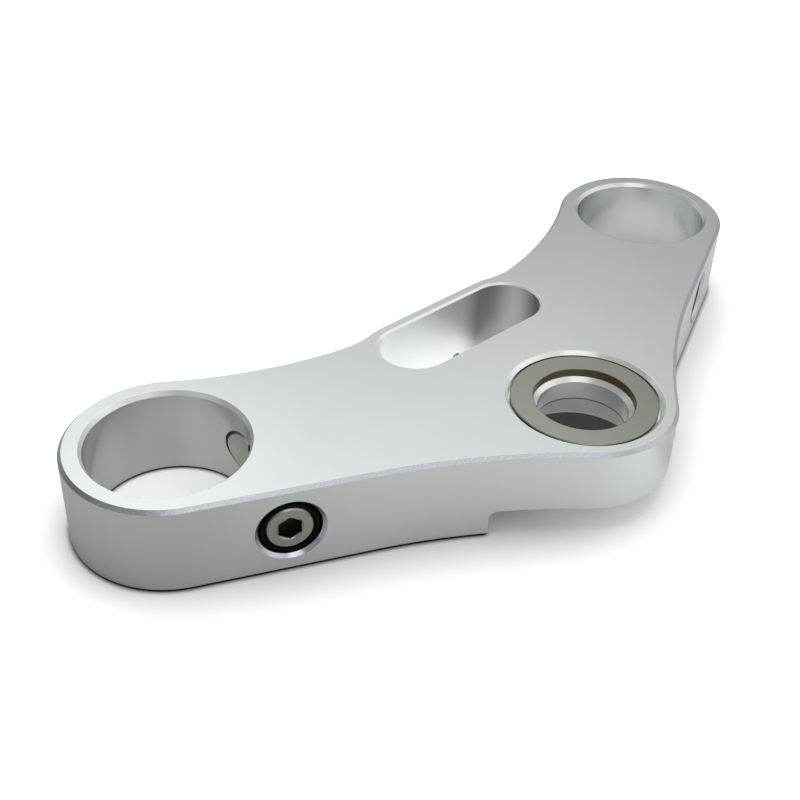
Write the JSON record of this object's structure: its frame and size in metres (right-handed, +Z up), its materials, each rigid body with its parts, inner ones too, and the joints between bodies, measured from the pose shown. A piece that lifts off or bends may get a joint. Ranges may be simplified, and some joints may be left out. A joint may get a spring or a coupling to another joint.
{
  "type": "upper triple clamp",
  "caption": "V-shaped machined aluminium top yoke that clamps two fork tubes and seats on the steering stem, with an open slot behind its front edge.",
  "frame": {"origin": "on the steering axis, at the lower edge of the stem bore where the stem's shoulder seats", "axes": "+Z up along the steering stem, +Y forward from the stem to the fork line, +X to the rider's right"},
  "size_m": [0.251, 0.111, 0.0267],
  "materials": {
    "anodised_aluminium": "fine blasted billet, clear anodised, satin",
    "satin_stainless": "satin stainless washer",
    "bright_stainless": "plain stainless screw and barrel",
    "black_steel": "black oxide on turned steel"
  },
  "bodies": {
    "root": {"yoke": "anodised_aluminium", "stem_washer": "satin_stainless", "outer_barrel_left": "black_steel", "outer_barrel_right": "black_steel", "inner_barrel_left": "bright_stainless", "inner_barrel_right": "bright_stainless", "clamp_screw_left": "bright_stainless", "clamp_screw_right": "bright_stainless"}
  },
  "joints": []
}
